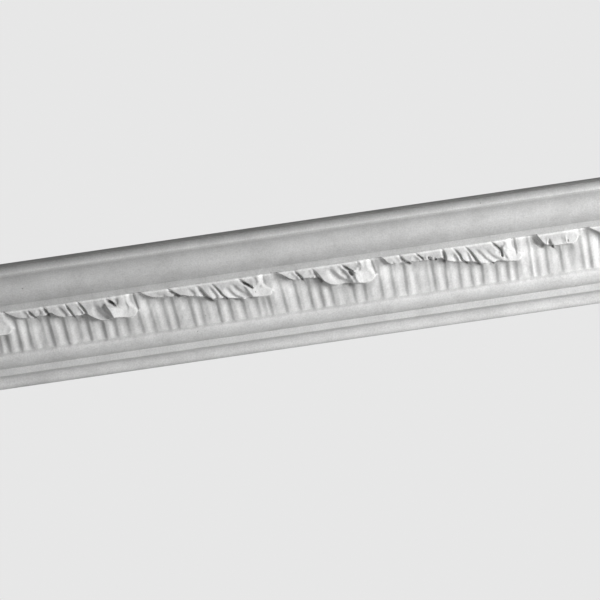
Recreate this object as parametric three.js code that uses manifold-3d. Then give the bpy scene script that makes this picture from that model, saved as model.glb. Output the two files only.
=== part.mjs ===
// Cornice moulding section, cast in plaster in one piece, with leaves carved over a row of reeds.
// Millimetres, +Z up. X runs along the moulding, the carved face looks towards -Y, the wall is the
// plane Y = 0 and the ceiling is the flat top. The origin is the middle of the face on the wall.

import * as THREE from 'three';
import { mergeVertices } from 'three/addons/utils/BufferGeometryUtils.js';
import Module from 'manifold-3d';

const wasm = await Module();
wasm.setup();

// The cut length and the two faces that the moulding is bedded on
const cutLength = 640;
const wallFaceHeight = 60;
const ceilingFaceWidth = 43;
const footThickness = 9;

// The members of the profile from the ceiling down: how far each falls, and how far it steps back
// towards the wall (a negative step back leans out)
const topFillet = { fall: 7.4, back: -1 };
const topQuirk = { fall: 0.9, back: 2 };
const cyma = { fall: 31, back: 24 };
const bedStep = { fall: 1.2, back: 2 };
const flatFillet = { fall: 5.6, back: 0.4 };
const carvedBand = { fall: 46.7, back: 4.6 };
const ovolo = { fall: 12.1, back: 9 };
const ovoloStep = { fall: 0.5, back: 0.5 };
const lowerFillet = { fall: 6.5, back: -0.3 };
const lowerQuirk = { fall: 1.6, back: 3.8 };
const cavetto = { fall: 12.1, back: 9.2 };
const lip = { fall: 1.4, back: 0.8 };

// The reeds: their floor lies behind the flat fillet above and the rim below, and each reed is a
// round bar that leans a little at the left end of the pattern and stands upright at the right
const floorBehindFillet = 6.6;
const floorBehindRim = 4;
const rimFall = 2;
const reedRise = 3.8;
const reedWidth = 12;
const reedLean = 0.1;

// The leaves: how far they stand out from the flat fillet, and the relief of ridges and grooves
const leafOut = 1.4;
const leafLap = 0.4;
const ridgeRise = 1.2;
const hollowDepth = 1.1;
const grooveDepth = 2.6;
const grooveWidth = 2.4;
const notchDepth = 1.4;
const wedgeDepth = 6.4;
const curlRise = 1.8;

// The pattern along the run, measured from the left cut. Every leaf has a tip, and lobes given as
// [ridge at the top line, ridge at the lower edge, drop of the lower edge], all from its own start
const patternStart = 23;
const patternRepeat = 590;
const earlierLeaf = { start: -84, tip: 113, curled: true, lobes: [[66, 80, 22], [76, 88, 23]] };
const leaves = [
  { start: 0, tip: 132, curled: true,
    lobes: [[20, 29, 11], [36, 42, 10], [60, 67, 14], [73, 81, 14.5], [80, 96, 22.5], [91, 104, 23]] },
  { start: 137, tip: 129, curled: true,
    lobes: [[23, 33, 9.5], [53, 60, 12], [69, 83, 18], [85, 102, 22.5]] },
  { start: 275, tip: 94, curled: true,
    lobes: [[17, 24, 10], [33, 39, 10.5], [39, 60, 21.5], [51, 68, 22.5]] },
  { start: 380, tip: 141, curled: true,
    lobes: [[17, 22, 10], [33, 42, 10], [60, 63, 11], [72, 80, 15], [86, 93, 18], [99, 114, 22]] },
  { start: 533, tip: 47, curled: false, lobes: [[32, 34, 13.5]] },
];

// The widths of the hand-cut reeds under each leaf, in order along the pattern
const reedWidths = [
  [11, 11, 6, 8, 8, 14, 14, 12, 12, 12, 13, 13],
  [12, 14, 12, 14, 10, 17, 12, 12.5, 12.5, 9],
  [19.5, 13.5, 14, 10.5, 10, 18.5, 14.5],
  [16.5, 12, 13.5, 12.5, 12, 15.5, 14, 11.5, 11, 14, 11.5, 9],
  [14.5, 7, 10, 14, 12, 9, 11],
].flat();

// Facets: steps of each curved member, sides of a reed, and rows of a leaf from top to lower edge
const curveSteps = 8;
const reedSides = 6;
const leafRows = [0, 0.14, 0.3, 0.46, 0.64, 0.84, 1];
const spare = 20;

const members = [
  topFillet, topQuirk, cyma, bedStep, flatFillet, carvedBand,
  ovolo, ovoloStep, lowerFillet, lowerQuirk, cavetto, lip,
];

/** The sum of one size over some members. */
function total(list, size) {
  return list.reduce((sum, member) => sum + member[size], 0);
}

const drop = total(members, 'fall');
const projection = footThickness + total(members, 'back');
const ceilingLevel = drop - wallFaceHeight / 2;
const bandIndex = members.indexOf(carvedBand);
const bandTop = total(members.slice(0, bandIndex), 'fall');
const filletOut = projection - total(members.slice(0, bandIndex), 'back');
const rimOut = filletOut - carvedBand.back;
const floorTopOut = filletOut - floorBehindFillet;
const floorFootOut = rimOut - floorBehindRim;
const floorFall = carvedBand.fall - rimFall;
const leftCut = -cutLength / 2;

/** A value between two others. */
function mix(a, b, share) {
  return a + (b - a) * share;
}

/** How far out of the wall the floor of the reeds lies at a depth below the band's top. */
function floorOut(depth) {
  return mix(floorTopOut, floorFootOut, depth / floorFall);
}

/** The curve of a cyma: hollow above and round below, steep where the two halves meet. */
function cymaCurve(share) {
  const fromMiddle = 2 * share - 1;
  const bulge = Math.sign(fromMiddle) * Math.abs(fromMiddle) ** 1.7;
  return [share, 0.5 + 0.5 * mix(fromMiddle, bulge, 0.75)];
}

/** The curve of an ovolo: it starts upright and rolls under. */
function ovoloCurve(share) {
  const turn = share * THREE.MathUtils.degToRad(82);
  const full = THREE.MathUtils.degToRad(82);
  return [Math.sin(turn) / Math.sin(full), (1 - Math.cos(turn)) / (1 - Math.cos(full))];
}

/** The curve of a cavetto: it starts under the quirk and ends upright. */
function cavettoCurve(share) {
  const turn = share * Math.PI / 2;
  return [1 - Math.cos(turn), Math.sin(turn)];
}

const curves = new Map([[cyma, cymaCurve], [ovolo, ovoloCurve], [cavetto, cavettoCurve]]);

/** The outline of the moulding across its length, as points of [out from the wall, height]. */
function sectionPoints() {
  let out = projection;
  let down = 0;
  const points = [[out, down]];
  for (const member of members) {
    if (member === carvedBand) {
      points.push([floorTopOut, down], [floorFootOut, down + floorFall]);
    }
    const curve = curves.get(member);
    if (curve) {
      for (let step = 1; step < curveSteps; step += 1) {
        const [fallShare, backShare] = curve(step / curveSteps);
        points.push([out - member.back * backShare, down + member.fall * fallShare]);
      }
    }
    out -= member.back;
    down += member.fall;
    points.push([out, down]);
  }
  points.push([0, drop], [0, drop - wallFaceHeight], [projection - ceilingFaceWidth, 0]);
  return points.map(([x, y]) => new THREE.Vector2(x, ceilingLevel - y));
}

/** A solid from a closed geometry, with its shared corners merged. */
function solid(geometry) {
  const bare = geometry.clone();
  bare.deleteAttribute('normal');
  bare.deleteAttribute('uv');
  const merged = mergeVertices(bare, 1e-4);
  return new wasm.Manifold(new wasm.Mesh({
    numProp: 3,
    vertProperties: new Float32Array(merged.attributes.position.array),
    triVerts: new Uint32Array(merged.index.array),
  }));
}

/** The plain run of the moulding, a little longer than the cut length. */
function plainRun() {
  const depth = cutLength + 2 * spare;
  const geometry = new THREE.ExtrudeGeometry(new THREE.Shape(sectionPoints()), {
    depth, steps: 1, bevelEnabled: false,
  });
  const turn = new THREE.Matrix4().set(
    0, 0, -1, depth / 2,
    -1, 0, 0, 0,
    0, 1, 0, 0,
    0, 0, 0, 1,
  );
  return solid(geometry.applyMatrix4(turn));
}

/** How much the reeds lean at a place along the pattern, in run for each millimetre of fall. */
function leanAt(along) {
  return reedLean * (1 - along / patternRepeat);
}

/** The row of reeds as one sheet with a scalloped front. */
function reedSheet() {
  const widest = Math.max(...reedWidths);
  const front = [];
  let valley = patternStart - patternRepeat;
  for (let index = 0; valley < cutLength + spare; index += 1) {
    const width = reedWidths[index % reedWidths.length];
    for (let side = 0; side < reedSides; side += 1) {
      const share = side / reedSides;
      const rise = reedRise * Math.sqrt(width / reedWidth) * Math.sin(Math.PI * share) ** 0.7;
      front.push(new THREE.Vector2(valley + width * share, Math.min(rise, floorBehindRim)));
    }
    valley += width;
  }
  const shown = front.filter((point) => point.x > -spare - widest && point.x < cutLength + spare);
  const backOut = -floorBehindRim;
  shown.push(new THREE.Vector2(shown.at(-1).x, backOut), new THREE.Vector2(shown[0].x, backOut));
  const geometry = new THREE.ExtrudeGeometry(new THREE.Shape(shown), {
    depth: floorFall + rimFall / 2, steps: 1, bevelEnabled: false,
  });
  const place = geometry.attributes.position;
  for (let index = 0; index < place.count; index += 1) {
    const along = place.getX(index);
    const depth = place.getZ(index);
    const lean = leanAt(along) * (depth - floorFall * 0.75);
    const out = floorOut(depth) + place.getY(index);
    const level = ceilingLevel - bandTop + leafLap / 2 - depth;
    place.setXYZ(index, leftCut + along + lean, -out, level);
  }
  return solid(geometry);
}

/** A line across a leaf, from the top line to the lower edge, with its relief at each row. */
function leafLine(top, foot, from, to, relief) {
  return { top, foot, from, to, relief };
}

/** A line part of the way from one line to another, with a relief of its own. */
function lineBetween(before, after, share, relief) {
  return leafLine(
    mix(before.top, after.top, share), mix(before.foot, after.foot, share),
    mix(before.from, after.from, share), mix(before.to, after.to, share), relief,
  );
}

/** The lines that carry the lobes of a leaf: a groove, a swelling, a hollow and a ridge each. */
function lobeLines(leaf) {
  const lines = [];
  let before = leafLine(0, 1, 0, 1.2, () => -3.4);
  lines.push(before);
  leaf.lobes.forEach(([top, foot, to], index) => {
    const ridge = leafLine(top, foot, 0, to, () => ridgeRise);
    const opening = index === 0 ? -2.2 : 0;
    lines.push(lineBetween(before, ridge, 0.3, () => 0.3 + opening));
    lines.push(lineBetween(before, ridge, 0.62, (row) => -hollowDepth * Math.sin(Math.PI * row)));
    lines.push(lineBetween(before, ridge, 0.86, () => 0.4));
    lines.push(ridge);
    before = leafLine(top + grooveWidth, foot + grooveWidth, 0, to - notchDepth, () => -grooveDepth);
    lines.push(before);
  });
  return lines;
}

/** The end of a leaf that rolls over: a dark wedge, a small curl and a smooth tongue below it. */
function curledEnd(tip) {
  const tongue = (row) => mix(1.6, -1.2, row);
  return [
    leafLine(tip - 30, tip - 23, 0, 23.2, () => 0.8),
    leafLine(tip - 27, tip - 18, 0, 23.4, (row) => (row > 0.05 && row < 0.5 ? -wedgeDepth : 1.2)),
    leafLine(tip - 21, tip - 15, 0, 23.6, (row) => (row > 0.2 && row < 0.4 ? -wedgeDepth / 2 : 1)),
    leafLine(tip - 18, tip - 13, 0, 24, (row) => (row < 0.4 ? curlRise : 1)),
    leafLine(tip - 14.5, tip - 10.5, 0, 24.4, (row) => (row < 0.4 ? curlRise : 0.2)),
    leafLine(tip - 11, tip - 7.5, 0.4, 24, (row) => (row < 0.4 ? 0.8 : -0.9)),
    leafLine(tip - 6, tip - 4, 10, 22.6, (row) => tongue(row) - 2),
    leafLine(tip, tip + 0.4, 17, 18.6, () => -3.4),
  ];
}

/** The end of a short leaf: it rounds off with no curl. */
function roundEnd(tip) {
  return [
    leafLine(tip - 8, tip - 7, 0, 13.6, () => 0.9),
    leafLine(tip - 4, tip - 3.6, 1.4, 12.6, () => 0.2),
    leafLine(tip, tip + 0.2, 6, 8.4, () => -2.4),
  ];
}

/** One leaf as a closed solid, from its lines, sunk into the floor behind it. */
function leafSolid(leaf, origin) {
  const lines = [...lobeLines(leaf), ...(leaf.curled ? curledEnd(leaf.tip) : roundEnd(leaf.tip))];
  const rows = leafRows.length;
  const corners = [];
  const faces = [];
  const backOut = Math.min(floorTopOut, floorFootOut) - 1;
  const corner = (along, depth, out) => {
    corners.push(leftCut + origin + along, -out, ceilingLevel - bandTop + leafLap - depth);
  };
  for (const line of lines) {
    for (const row of leafRows) {
      const rolled = row === 0 || row === 1 ? 0.5 : 0;
      const out = filletOut + leafOut + line.relief(row) - rolled;
      corner(mix(line.top, line.foot, row), mix(line.from, line.to, row), out);
    }
    corner(line.top, line.from, backOut);
    corner(line.foot, line.to, backOut);
  }
  const stride = rows + 2;
  const at = (column, row) => column * stride + row;
  const topBack = rows;
  const footBack = rows + 1;
  for (let column = 0; column < lines.length - 1; column += 1) {
    const next = column + 1;
    for (let row = 0; row < rows - 1; row += 1) {
      faces.push(at(column, row), at(column, row + 1), at(next, row + 1));
      faces.push(at(column, row), at(next, row + 1), at(next, row));
    }
    faces.push(at(column, 0), at(next, 0), at(next, topBack));
    faces.push(at(column, 0), at(next, topBack), at(column, topBack));
    faces.push(at(next, rows - 1), at(column, rows - 1), at(column, footBack));
    faces.push(at(next, rows - 1), at(column, footBack), at(next, footBack));
    faces.push(at(column, topBack), at(next, topBack), at(next, footBack));
    faces.push(at(column, topBack), at(next, footBack), at(column, footBack));
  }
  const last = lines.length - 1;
  for (let row = 0; row < rows - 1; row += 1) {
    faces.push(at(0, footBack), at(0, row + 1), at(0, row));
    faces.push(at(last, footBack), at(last, row), at(last, row + 1));
  }
  faces.push(at(0, footBack), at(0, 0), at(0, topBack));
  faces.push(at(last, footBack), at(last, topBack), at(last, 0));
  return new wasm.Manifold(new wasm.Mesh({
    numProp: 3,
    vertProperties: new Float32Array(corners),
    triVerts: new Uint32Array(faces),
  }));
}

/** Every leaf that reaches into the cut length, each with its place along the run. */
function leafPlaces() {
  const places = [[earlierLeaf, earlierLeaf.start]];
  for (let origin = patternStart; origin < cutLength; origin += patternRepeat) {
    for (const leaf of leaves) {
      if (origin + leaf.start < cutLength) {
        places.push([leaf, origin + leaf.start]);
      }
    }
  }
  return places;
}

/** The moulding as one solid, cut square at both ends. */
function moulding() {
  let body = plainRun().add(reedSheet());
  for (const [leaf, origin] of leafPlaces()) {
    body = body.add(leafSolid(leaf, origin));
  }
  const reach = 4 * (drop + projection);
  const saw = solid(new THREE.BoxGeometry(cutLength, reach, reach));
  return body.intersect(saw);
}

/** A geometry from a solid. */
function geometryOf(body) {
  const mesh = body.getMesh();
  const geometry = new THREE.BufferGeometry();
  const places = new Float32Array(mesh.numVert * 3);
  for (let index = 0; index < mesh.numVert; index += 1) {
    places.set(mesh.vertProperties.subarray(index * mesh.numProp, index * mesh.numProp + 3), index * 3);
  }
  geometry.setAttribute('position', new THREE.BufferAttribute(places, 3));
  geometry.setIndex(new THREE.BufferAttribute(new Uint32Array(mesh.triVerts), 1));
  geometry.computeVertexNormals();
  return geometry;
}

const plaster = new THREE.MeshStandardMaterial({
  color: 0xdcdad5, roughness: 0.85, metalness: 0, flatShading: true,
});

const cornice = new THREE.Mesh(geometryOf(moulding()), plaster);
cornice.name = 'cornice_moulding';

const object = new THREE.Group();
object.add(cornice);

export default object;
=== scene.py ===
"""Cornice moulding section: one plaster cast of leaves carved over reeds.

The run of the moulding is modelled as a plasterer makes it: the outline of the profile is laid out,
drawn along the length, its arrises are eased, and the band between the flat fillet and the rim is
divided finely and carved. Carving sizes are in millimetres. Places along the run are measured from
the left cut, and depths in the band are measured down from the foot of the flat fillet.
"""

import logging
import math
from collections.abc import Callable, Sequence
from dataclasses import dataclass, field
from enum import Enum

import bmesh
import bpy
import numpy as np
from mathutils import Matrix, Vector


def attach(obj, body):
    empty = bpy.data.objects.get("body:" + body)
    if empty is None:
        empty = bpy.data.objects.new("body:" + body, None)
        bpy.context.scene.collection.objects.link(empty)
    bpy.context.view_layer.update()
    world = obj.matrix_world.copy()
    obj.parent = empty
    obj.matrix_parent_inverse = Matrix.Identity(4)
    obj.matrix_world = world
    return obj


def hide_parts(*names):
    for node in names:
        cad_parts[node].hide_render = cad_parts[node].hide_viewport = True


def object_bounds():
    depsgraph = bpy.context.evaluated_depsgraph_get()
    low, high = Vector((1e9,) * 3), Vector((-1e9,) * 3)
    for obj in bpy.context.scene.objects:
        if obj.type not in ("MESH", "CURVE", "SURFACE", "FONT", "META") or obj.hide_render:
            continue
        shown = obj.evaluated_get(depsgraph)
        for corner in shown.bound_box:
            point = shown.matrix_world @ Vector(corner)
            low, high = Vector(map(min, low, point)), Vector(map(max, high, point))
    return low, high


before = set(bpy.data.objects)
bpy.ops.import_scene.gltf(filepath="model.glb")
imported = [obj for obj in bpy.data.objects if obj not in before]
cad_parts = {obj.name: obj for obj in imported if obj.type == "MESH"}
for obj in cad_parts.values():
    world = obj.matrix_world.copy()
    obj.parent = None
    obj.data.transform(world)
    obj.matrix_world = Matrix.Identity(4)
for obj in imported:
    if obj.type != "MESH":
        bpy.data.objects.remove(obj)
CAD_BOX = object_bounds()

LOG = logging.getLogger("cornice")
MM = 0.001
TOLERANCE = 0.01
NODE = "cornice_moulding"

Array = np.ndarray
Socket = bpy.types.NodeSocket
Span = tuple[float, float]
Knots = tuple[Span, ...]
Colour = tuple[float, float, float]
Place = tuple[float, float, float]
Feeds = dict[str | int, Socket | Colour | float]
EdgeTest = Callable[[bmesh.types.BMEdge], bool]


def smooth_step(low: float, high: float, value: Array) -> Array:
    """Rise smoothly from 0 at one value to 1 at another."""
    share = np.clip((value - low) / (high - low), 0.0, 1.0)
    return share * share * (3.0 - 2.0 * share)


def hump(value: Array, width: float | Array) -> Array:
    """Make a hump of height 1 about zero, which has fallen to a third at its width."""
    return np.exp(-((value / width) ** 2))


def flowing(value: Array, knots: Sequence[Span]) -> Array:
    """Read a smooth curve through a few knots.

    Args:
        value: Places at which the curve is read.
        knots: Points of (place, height), in order of place.

    Returns:
        The height of the curve at each place; it is level outside the knots.
    """
    places = np.array([knot[0] for knot in knots])
    heights = np.array([knot[1] for knot in knots])
    slopes = np.gradient(heights, places)
    inside = np.clip(value, places[0], places[-1])
    index = np.clip(np.searchsorted(places, inside) - 1, 0, len(places) - 2)
    gap = places[index + 1] - places[index]
    share = (inside - places[index]) / gap
    rest = 1.0 - share
    start = (1.0 + 2.0 * share) * rest * rest * heights[index]
    end = share * share * (3.0 - 2.0 * share) * heights[index + 1]
    lift = share * rest * rest * gap * slopes[index]
    fall = share * share * (share - 1.0) * gap * slopes[index + 1]
    return start + end + lift + fall


def ripple(along: Array, across: Array, size: float, seed: int) -> Array:
    """Make the slight unevenness of handwork as a sum of slow waves.

    Args:
        along: Places along the run.
        across: Places across it.
        size: Typical length of a wave.
        seed: Seed of the directions and phases.

    Returns:
        Heights of about plus or minus one.
    """
    draws = np.random.default_rng(seed)
    waves = 6
    height = np.zeros_like(along)
    for _ in range(waves):
        turn = draws.uniform(0.0, 2.0 * math.pi)
        length = size * draws.uniform(0.6, 1.7)
        phase = draws.uniform(0.0, 2.0 * math.pi)
        run = along * math.cos(turn) + across * math.sin(turn)
        height += np.sin(2.0 * math.pi * run / length + phase)
    return height / math.sqrt(waves)


class Tool(Enum):
    """The carver's tools: (width left of the stroke, width right of it, shoulder left on its right)."""

    VEINER = (1.9, 0.75, 0.9)
    GOUGE = (2.4, 1.6, 0.2)
    DRILL = (0.9, 0.9, 0.0)
    BEAD = (1.0, 1.3, 0.0)


# Points followed for each listed point of a stroke, and how far the shoulder beside it reaches
STROKE_POINTS = 12
SHOULDER_REACH = 4.5


@dataclass(frozen=True)
class Cut:
    """One stroke of a tool across a leaf.

    Attributes:
        tool: The tool.
        path: Points of (place from the leaf's start, depth) that the stroke passes through.
        sink: How deep it cuts; a bead stands proud instead.
        width: Its half width.
    """

    tool: Tool
    path: Knots
    sink: float
    width: float = 1.0

    def line(self) -> tuple[Array, Array]:
        """Follow the stroke closely.

        Returns:
            Places and depths along it.
        """
        knots = range(len(self.path))
        steps = np.linspace(0.0, len(self.path) - 1.0, STROKE_POINTS * len(self.path))
        places = flowing(steps, [(knot, self.path[knot][0]) for knot in knots])
        depths = flowing(steps, [(knot, self.path[knot][1]) for knot in knots])
        return places, depths

    def make(self, run: Array, depth: Array, surface: Array) -> None:
        """Make the stroke in a surface.

        Args:
            run: Places along the run, from the leaf's start.
            depth: Depths in the band.
            surface: How far out the surface stands; it is changed.
        """
        places, depths = self.line()
        # Further away than this the stroke isn't felt.
        reach = 4.5 * self.width + 4.0
        near = (run > places.min() - reach) & (run < places.max() + reach)
        near &= (depth > depths.min() - reach) & (depth < depths.max() + reach)
        if not near.any():
            return
        aside = run[near, None] - places[None, :]
        below = depth[near, None] - depths[None, :]
        away = np.hypot(aside, below)
        nearest = np.argmin(away, axis=1)
        rows = np.arange(len(nearest))
        turn_x = np.gradient(places)[nearest]
        turn_y = np.gradient(depths)[nearest]
        on_left = turn_x * below[rows, nearest] - turn_y * aside[rows, nearest] > 0.0
        off = away[rows, nearest]
        left_width, right_width, shoulder = self.tool.value
        width = self.width * np.where(on_left, left_width, right_width)
        along = nearest / (len(places) - 1.0)
        taper = smooth_step(-0.10, 0.50, along)
        if self.tool is Tool.BEAD:
            ends = smooth_step(0.0, 0.2, along * (1.0 - along) + 0.1)
            surface[near] += self.sink * hump(off, width) * ends
            return
        if self.tool is Tool.DRILL:
            surface[near] -= self.sink * smooth_step(self.width * 1.3, self.width * 0.6, off)
            return
        surface[near] -= self.sink * taper * hump(off, width)
        beside = smooth_step(self.width * 0.8, self.width * 1.5 + 0.6, off)
        rise = beside * np.exp(-off / SHOULDER_REACH)
        surface[near] += shoulder * taper * rise * ~on_left


class LeafEnd(Enum):
    """How a leaf finishes on its right."""

    CURLED = "a small curl over a smooth tongue"
    ROUND = "a plain round lobe"


@dataclass(frozen=True)
class Leaf:
    """One leaf laid along the top of the reeds.

    Attributes:
        start: Where it starts along the run.
        tip: Where its tip lies, from its start.
        edge: The lower edge, as (place from the start, depth).
        cuts: The strokes that shape it, in order.
        tongue: Length of the tongue back from the tip.
        swell: How much the tongue swells, against a usual one.
        set_back: How far its right side stands back from the tip above the tongue.
        end: How it finishes.
    """

    start: float
    tip: float
    edge: Knots
    cuts: tuple[Cut, ...]
    tongue: float = 26.0
    swell: float = 1.0
    set_back: float = 0.0
    end: LeafEnd = LeafEnd.CURLED


def vein(*path: Span, sink: float = 3.8, width: float = 0.8) -> Cut:
    """Cut a narrow deep groove between two fingers of a leaf."""
    return Cut(Tool.VEINER, path, sink, width)


def hollow(*path: Span, sink: float = 1.1, width: float = 1.2) -> Cut:
    """Hollow a finger of a leaf along its length."""
    return Cut(Tool.GOUGE, path, sink, width)


def eye(*path: Span, sink: float = 6.0, width: float = 1.2) -> Cut:
    """Drill a deep eye, or a row of them."""
    return Cut(Tool.DRILL, path, sink, width)


def bead(*path: Span, sink: float = 0.8, width: float = 1.2) -> Cut:
    """Leave a rounded bead standing proud."""
    return Cut(Tool.BEAD, path, sink, width)


# Where the pattern starts along the run, and how long it is before it comes again
PATTERN_START = 23.0
PATTERN_REPEAT = 590.0

FIRST_LEAF = Leaf(
    start=0.0,
    tip=132.5,
    tongue=30.5,
    swell=1.8,
    set_back=2.5,
    edge=(
        (0, 0.8), (5, 4.4), (10, 7.3), (14, 9.2), (20, 10.6), (27, 11), (32, 10), (43, 9.8),
        (45, 8.4), (50, 11.4), (54, 13.5), (59, 14.7), (69, 14.8), (77, 15.2), (81, 14.4),
        (85, 17.4), (90, 20.8), (95, 23.2), (101, 23.6), (108, 22.6), (117, 23.6), (124, 24.5),
        (129, 23), (132.5, 19.4),
    ),
    cuts=(
        hollow((16, 2.6), (19.5, 4.4), (22.4, 7.6), sink=1.0, width=1.3),
        vein((23.5, 2.6), (26.5, 5.6), (30, 9.8), sink=3.6, width=0.7),
        hollow((33.6, 3), (35.6, 5.6), sink=1.0, width=1.1),
        vein((39.5, 1.8), (42.3, 5.2), (44.2, 9.8), sink=5.0, width=0.85),
        hollow((53, 3.4), (57.3, 7.2), (60.8, 12.4), sink=1.4, width=1.0),
        vein((61.5, 1), (64.5, 6), (66.8, 10), (69, 14.6), sink=3.6, width=0.65),
        hollow((71.5, 4), (74.8, 9.6), (77, 13.4), sink=1.0, width=1.0),
        vein((73.5, 0.8), (77.2, 5), (80, 9.4), (81.8, 13.4), sink=3.6, width=0.75),
        hollow((88.5, 6.5), (92.3, 11), (95.6, 16), (101.5, 21.2), sink=3.4, width=1.5),
        hollow((97.5, 4), (100.5, 8.5), (101.8, 13.5), (105, 18.5), sink=0.7, width=1.1),
        vein((102.5, 2.4), (106.8, 5.8), (110.6, 8.8), sink=5.4, width=0.9),
        eye((106.6, 5), (109.2, 7.4), sink=5.0, width=1.2),
        hollow((113.4, 2.5), (112.8, 8.5), sink=1.2, width=0.9),
        hollow((121.6, 0.5), (121.8, 8), (123, 14.5), sink=0.7, width=0.9),
        hollow((129, 0.2), (130.2, 0.6), (131.2, 6), (132.4, 12), (133, 16.5), sink=1.5, width=0.6),
    ),
)

SECOND_LEAF = Leaf(
    start=137.0,
    tip=131.5,
    tongue=26.0,
    swell=0.6,
    set_back=4.0,
    edge=(
        (0, 0.8), (4, 3.6), (8, 6), (13, 8), (19, 9.3), (26, 9.4), (33.5, 9.2), (35.6, 7.2),
        (38.5, 8.8), (43, 10.2), (48, 11.8), (53, 12.8), (58, 13.8), (62, 14.6), (66, 15.2),
        (70, 17.6), (75, 18.3), (84, 18.6), (89, 19.8), (97, 21.6), (103, 22.9), (109, 21.6),
        (114, 22.2), (119, 23), (126, 22.8), (130, 21.4), (131.5, 19.4),
    ),
    cuts=(
        hollow((12, 3.2), (18, 5.8), (23, 7.2), sink=0.6),
        vein((28, 1.6), (31.5, 4), (34.4, 6.4), (38, 9), sink=4.8, width=0.85),
        hollow((47.5, 3.6), (50.6, 6.8), (53.4, 9.8), sink=1.1),
        vein((57, 2.4), (60.6, 6.4), (63.6, 11), (66.2, 14.6), (69.5, 17.6), sink=5.4, width=1.3),
        hollow((69, 4), (71, 8), (73, 11), (75.6, 15.6), sink=1.4, width=0.9),
        vein((72.3, 2.2), (76.8, 7.2), (79.8, 11.4), (82, 15), (86, 19), sink=4.0, width=0.7),
        hollow((84, 8), (87.6, 11), (91, 15.4), (94, 18.6), (99, 21.4), sink=2.6, width=1.3),
        hollow((91, 5.6), (95, 9.6), (99.4, 14.4), (103, 17), (108, 20.4), sink=2.5, width=1.25),
        hollow((103.3, 12.4), (106.6, 17), sink=0.6, width=0.8),
        vein((100, 1.6), (104, 5), (108, 8.4), (111.6, 10.8), sink=5.4, width=0.9),
        eye((105, 6.4), (109, 9.2), sink=5.0, width=1.1),
        hollow((112.4, 2.4), (115.6, 3.6), (116.4, 6.8), sink=0.9, width=1.1),
        hollow((112.6, 13.2), (117.6, 12.8), (120.8, 10.2), sink=1.2, width=0.7),
        bead((117.6, 0.8), (120.8, 3.6), (121.4, 7.2), sink=0.6, width=1.6),
        bead((113.4, 11), (116.4, 10.8), sink=0.6, width=1.3),
    ),
)

THIRD_LEAF = Leaf(
    start=275.0,
    tip=98.5,
    tongue=24.5,
    swell=0.65,
    set_back=0.5,
    edge=(
        (0, 0.8), (3, 2.6), (6, 4.6), (9, 6.7), (12, 9), (15, 10.6), (19, 10.9), (25, 10.7),
        (31, 11), (37, 12), (41, 12), (43.5, 13.6), (46, 16.2), (50, 19.4), (55, 21.5),
        (60, 22.3), (66, 21.8), (71, 22.2), (77, 22.6), (82, 23.5), (87, 24.2), (92, 22.8),
        (96, 20.6), (98.5, 18.6),
    ),
    cuts=(
        hollow((12.5, 3.6), (15.5, 5.4), (18.6, 8.4), sink=1.1),
        vein((18, 1.6), (21, 4.8), (23.6, 7.6), (25.2, 10.8), sink=4.4),
        hollow((29, 2.6), (32, 5.4), (34.8, 8.6), sink=1.0, width=1.4),
        vein((36, 2.6), (39, 7), (41.4, 11), (43.8, 14.4), sink=5.4, width=1.15),
        hollow(
            (50.5, 4.4), (54, 8), (57.4, 12.2), (61, 15.9), (65, 18.4), (70.5, 21.8),
            sink=4.4, width=1.65,
        ),
        hollow((60, 3), (64.5, 8), (67, 11.4), (69.6, 15.2), sink=2.4),
        hollow((70.6, 16.4), (72.8, 18.8), sink=0.7, width=0.9),
        vein((65, 1.8), (69, 4.8), (72, 7.2), (75.4, 9.8), sink=5.0, width=0.85),
        eye((73, 11), (74.7, 13), sink=5.4, width=1.35),
        hollow((76.8, 10), (76.4, 15.6), sink=0.8, width=0.8),
        hollow((77.4, 2.8), (80.4, 4.4), (82, 2.2), sink=1.0, width=0.9),
        hollow((85.6, 1.0), (90, 0.6), (94, 1.2), sink=1.3, width=0.45),
        hollow((83.8, 6.6), (82, 9.6), sink=0.9, width=0.7),
        hollow((94.6, 1.4), (95.4, 3.6), (96.4, 8), (97.8, 14.6), sink=1.5, width=0.7),
        bead((82.8, 0.8), (84.8, 3.4), (85.4, 5.4), width=1.1),
        bead((78.8, 8.6), (81, 8.4), sink=0.7, width=1.1),
    ),
)

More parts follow.
